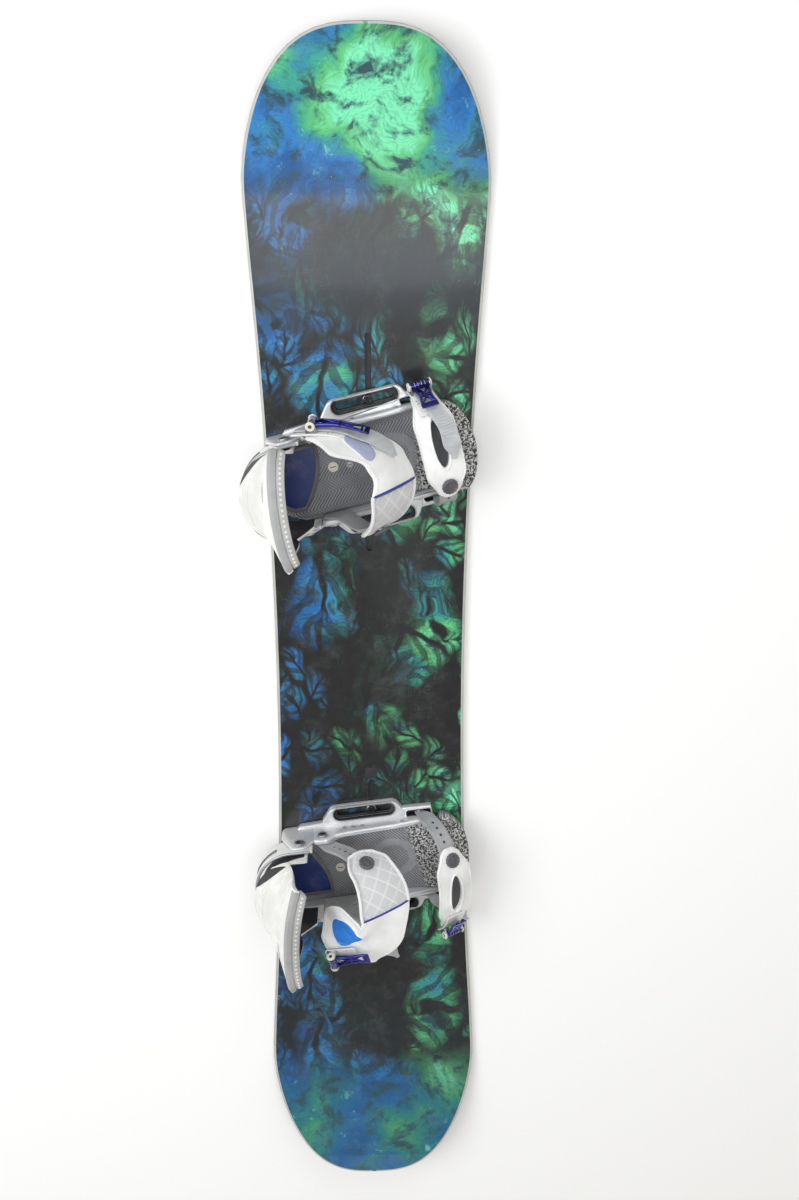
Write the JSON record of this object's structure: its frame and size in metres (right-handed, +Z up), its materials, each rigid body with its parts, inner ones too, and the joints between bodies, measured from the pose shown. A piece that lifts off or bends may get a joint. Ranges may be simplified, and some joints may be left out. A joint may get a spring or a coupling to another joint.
{
  "type": "snowboard with bindings",
  "caption": "Snowboard with upturned tips, steel edge and slotted channels, carrying strap bindings with folding highbacks, padded ankle and toe straps, ladders and ratchet buckles.",
  "frame": {"origin": "middle of the board's outline, on its flat running base", "axes": "+Y along the board to its nose, +X to its toe edge, +Z up out of the topsheet"},
  "size_m": [0.3077, 1.58, 0.203],
  "materials": {
    "board_base": "satin",
    "steel_edge": "satin",
    "board_core": "satin",
    "topsheet": "gloss",
    "front_channel": "matte",
    "rear_channel": "matte",
    "front_mount_screw_nose": "satin",
    "front_mount_screw_tail": "satin",
    "front_channel_nut_nose": "satin",
    "front_channel_nut_tail": "satin",
    "front_base_frame": "gloss",
    "front_footbed": "matte",
    "front_heel_pad": "satin",
    "front_heel_hoop": "gloss",
    "front_pivot_bolt_outer": "satin",
    "front_pivot_bolt_inner": "satin",
    "front_ankle_bolt_outer": "satin",
    "front_ankle_bolt_inner": "satin",
    "front_highback": "gloss",
    "front_highback_pad": "matte",
    "front_lean_stop": "satin",
    "front_ankle_strap": "satin",
    "front_ankle_slider": "satin",
    "front_ankle_buckle": "gloss",
    "front_ankle_ladder": "satin",
    "front_toe_strap": "satin",
    "front_toe_slider": "satin",
    "front_toe_buckle": "gloss",
    "front_toe_ladder": "satin",
    "front_ankle_knob": "satin",
    "front_ankle_lever": "gloss",
    "front_toe_knob": "satin",
    "front_toe_lever": "gloss",
    "rear_mount_screw_nose": "satin",
    "rear_mount_screw_tail": "satin",
    "rear_channel_nut_nose": "satin",
    "rear_channel_nut_tail": "satin",
    "rear_base_frame": "gloss",
    "rear_footbed": "matte",
    "rear_heel_pad": "satin",
    "rear_heel_hoop": "gloss",
    "rear_pivot_bolt_outer": "satin",
    "rear_pivot_bolt_inner": "satin",
    "rear_ankle_bolt_outer": "satin",
    "rear_ankle_bolt_inner": "satin",
    "rear_highback": "gloss",
    "rear_highback_pad": "matte",
    "rear_lean_stop": "satin",
    "rear_ankle_strap": "satin",
    "rear_ankle_slider": "satin",
    "rear_ankle_buckle": "gloss",
    "rear_toe_strap": "satin",
    "rear_toe_slider": "satin",
    "rear_toe_buckle": "gloss",
    "rear_ankle_ladder": "satin",
    "rear_toe_ladder": "satin",
    "rear_ankle_knob": "satin",
    "rear_ankle_lever": "gloss",
    "rear_toe_knob": "satin",
    "rear_toe_lever": "gloss"
  },
  "bodies": {
    "board": {"board_base": "board_base", "steel_edge": "steel_edge", "board_core": "board_core", "topsheet": "topsheet", "front_channel": "front_channel", "rear_channel": "rear_channel"},
    "front_mount": {"front_mount_screw_nose": "front_mount_screw_nose", "front_mount_screw_tail": "front_mount_screw_tail", "front_channel_nut_nose": "front_channel_nut_nose", "front_channel_nut_tail": "front_channel_nut_tail"},
    "front_base": {"front_base_frame": "front_base_frame", "front_footbed": "front_footbed", "front_heel_pad": "front_heel_pad", "front_heel_hoop": "front_heel_hoop", "front_pivot_bolt_outer": "front_pivot_bolt_outer", "front_pivot_bolt_inner": "front_pivot_bolt_inner", "front_ankle_bolt_outer": "front_ankle_bolt_outer", "front_ankle_bolt_inner": "front_ankle_bolt_inner"},
    "front_highback": {"front_highback": "front_highback", "front_highback_pad": "front_highback_pad"},
    "front_lean_stop": {"front_lean_stop": "front_lean_stop"},
    "front_ankle": {"front_ankle_strap": "front_ankle_strap", "front_ankle_slider": "front_ankle_slider", "front_ankle_buckle": "front_ankle_buckle", "front_ankle_ladder": "front_ankle_ladder"},
    "front_toe": {"front_toe_strap": "front_toe_strap", "front_toe_slider": "front_toe_slider", "front_toe_buckle": "front_toe_buckle", "front_toe_ladder": "front_toe_ladder"},
    "front_ankle_knob": {"front_ankle_knob": "front_ankle_knob"},
    "front_ankle_lever": {"front_ankle_lever": "front_ankle_lever"},
    "front_toe_knob": {"front_toe_knob": "front_toe_knob"},
    "front_toe_lever": {"front_toe_lever": "front_toe_lever"},
    "rear_mount": {"rear_mount_screw_nose": "rear_mount_screw_nose", "rear_mount_screw_tail": "rear_mount_screw_tail", "rear_channel_nut_nose": "rear_channel_nut_nose", "rear_channel_nut_tail": "rear_channel_nut_tail"},
    "rear_base": {"rear_base_frame": "rear_base_frame", "rear_footbed": "rear_footbed", "rear_heel_pad": "rear_heel_pad", "rear_heel_hoop": "rear_heel_hoop", "rear_pivot_bolt_outer": "rear_pivot_bolt_outer", "rear_pivot_bolt_inner": "rear_pivot_bolt_inner", "rear_ankle_bolt_outer": "rear_ankle_bolt_outer", "rear_ankle_bolt_inner": "rear_ankle_bolt_inner"},
    "rear_highback": {"rear_highback": "rear_highback", "rear_highback_pad": "rear_highback_pad"},
    "rear_lean_stop": {"rear_lean_stop": "rear_lean_stop"},
    "rear_ankle": {"rear_ankle_strap": "rear_ankle_strap", "rear_ankle_slider": "rear_ankle_slider", "rear_ankle_buckle": "rear_ankle_buckle"},
    "rear_toe": {"rear_toe_strap": "rear_toe_strap", "rear_toe_slider": "rear_toe_slider", "rear_toe_buckle": "rear_toe_buckle"},
    "rear_ankle_ladder": {"rear_ankle_ladder": "rear_ankle_ladder"},
    "rear_toe_ladder": {"rear_toe_ladder": "rear_toe_ladder"},
    "rear_ankle_knob": {"rear_ankle_knob": "rear_ankle_knob"},
    "rear_ankle_lever": {"rear_ankle_lever": "rear_ankle_lever"},
    "rear_toe_knob": {"rear_toe_knob": "rear_toe_knob"},
    "rear_toe_lever": {"rear_toe_lever": "rear_toe_lever"}
  },
  "joints": [
    {"name": "front_stance", "type": "slide", "parent": "board", "child": "front_mount", "axis": [0, 1, 0], "range_m": [-0.02, 0.045]},
    {"name": "front_angle", "type": "hinge", "parent": "front_mount", "child": "front_base", "pos_m": [0, 0.285, 0.0092], "axis": [0, 0, 1], "range_deg": [-6, 4]},
    {"name": "front_highback_fold", "type": "hinge", "parent": "front_base", "child": "front_highback", "pos_m": [-0.08927, 0.26274, 0.0612], "axis": [-0.2419, 0.9703, 0], "range_deg": [0, 25]},
    {"name": "front_lean_set", "type": "slide", "parent": "front_highback", "child": "front_lean_stop", "axis": [0, 0, 1], "range_m": [0, 0.007]},
    {"name": "front_ankle_swing", "type": "hinge", "parent": "front_base", "child": "front_ankle", "pos_m": [-0.05822, 0.27048, 0.0452], "axis": [-0.2419, 0.9703, 0], "range_deg": [-20, 12]},
    {"name": "front_toe_swing", "type": "hinge", "parent": "front_base", "child": "front_toe", "pos_m": [0.0718, 0.3029, 0.0167], "axis": [-0.2419, 0.9703, 0], "range_deg": [-8, 15]},
    {"name": "front_ankle_knob_turn", "type": "hinge", "parent": "front_ankle", "child": "front_ankle_knob", "pos_m": [0.00898, 0.22686, 0.09797], "axis": [0.5042, -0.8163, 0.2817], "range_deg": [0, 90]},
    {"name": "front_ankle_lever_lift", "type": "hinge", "parent": "front_ankle", "child": "front_ankle_lever", "pos_m": [-0.06657, 0.35477, 0.12737], "axis": [-0.0906, -0.1648, 0.9822], "range_deg": [0, 65], "stiffness_Nm_per_rad": 0.2},
    {"name": "front_toe_knob_turn", "type": "hinge", "parent": "front_toe", "child": "front_toe_knob", "pos_m": [0.09542, 0.27144, 0.0781], "axis": [0.3034, -0.2774, 0.9116], "range_deg": [0, 90]},
    {"name": "front_toe_lever_lift", "type": "hinge", "parent": "front_toe", "child": "front_toe_lever", "pos_m": [0.06153, 0.38787, 0.05917], "axis": [-0.9415, -0.2347, 0.2419], "range_deg": [0, 65], "stiffness_Nm_per_rad": 0.2},
    {"name": "rear_stance", "type": "slide", "parent": "board", "child": "rear_mount", "axis": [0, 1, 0], "range_m": [-0.045, 0.02]},
    {"name": "rear_angle", "type": "hinge", "parent": "rear_mount", "child": "rear_base", "pos_m": [0, -0.283, 0.0092], "axis": [0, 0, 1], "range_deg": [-6, 6]},
    {"name": "rear_highback_fold", "type": "hinge", "parent": "rear_base", "child": "rear_highback", "pos_m": [-0.09131, -0.29421, 0.0612], "axis": [-0.1219, 0.9925, 0], "range_deg": [0, 20]},
    {"name": "rear_lean_set", "type": "slide", "parent": "rear_highback", "child": "rear_lean_stop", "axis": [0, 0, 1], "range_m": [0, 0.007]},
    {"name": "rear_ankle_swing", "type": "hinge", "parent": "rear_base", "child": "rear_ankle", "pos_m": [-0.05955, -0.29031, 0.0452], "axis": [-0.1219, 0.9925, 0], "range_deg": [-10, 12]},
    {"name": "rear_toe_swing", "type": "hinge", "parent": "rear_base", "child": "rear_toe", "pos_m": [0.07345, -0.27398, 0.0167], "axis": [-0.1219, 0.9925, 0], "range_deg": [-8, 5]},
    {"name": "rear_ankle_ladder_swing", "type": "hinge", "parent": "rear_base", "child": "rear_ankle_ladder", "pos_m": [-0.05955, -0.29031, 0.0452], "axis": [-0.1219, 0.9925, 0], "range_deg": [-8, 6]},
    {"name": "rear_toe_ladder_swing", "type": "hinge", "parent": "rear_base", "child": "rear_toe_ladder", "pos_m": [0.07345, -0.27398, 0.0167], "axis": [-0.1219, 0.9925, 0], "range_deg": [-5, 12]},
    {"name": "rear_ankle_knob_turn", "type": "hinge", "parent": "rear_ankle", "child": "rear_ankle_knob", "pos_m": [-0.00894, -0.24199, 0.11371], "axis": [0.1752, 0.891, 0.4188], "range_deg": [0, 90]},
    {"name": "rear_ankle_lever_lift", "type": "hinge", "parent": "rear_ankle", "child": "rear_ankle_lever", "pos_m": [-0.05254, -0.35444, 0.15986], "axis": [0.1835, -0.8901, -0.4172], "range_deg": [0, 65], "stiffness_Nm_per_rad": 0.2},
    {"name": "rear_toe_knob_turn", "type": "hinge", "parent": "rear_toe", "child": "rear_toe_knob", "pos_m": [0.1042, -0.25185, 0.07664], "axis": [0.4341, 0.3106, 0.8456], "range_deg": [0, 90]},
    {"name": "rear_toe_lever_lift", "type": "hinge", "parent": "rear_toe", "child": "rear_toe_lever", "pos_m": [0.11239, -0.37339, 0.06458], "axis": [0.8681, 0.1066, -0.4848], "range_deg": [0, 65], "stiffness_Nm_per_rad": 0.2}
  ]
}
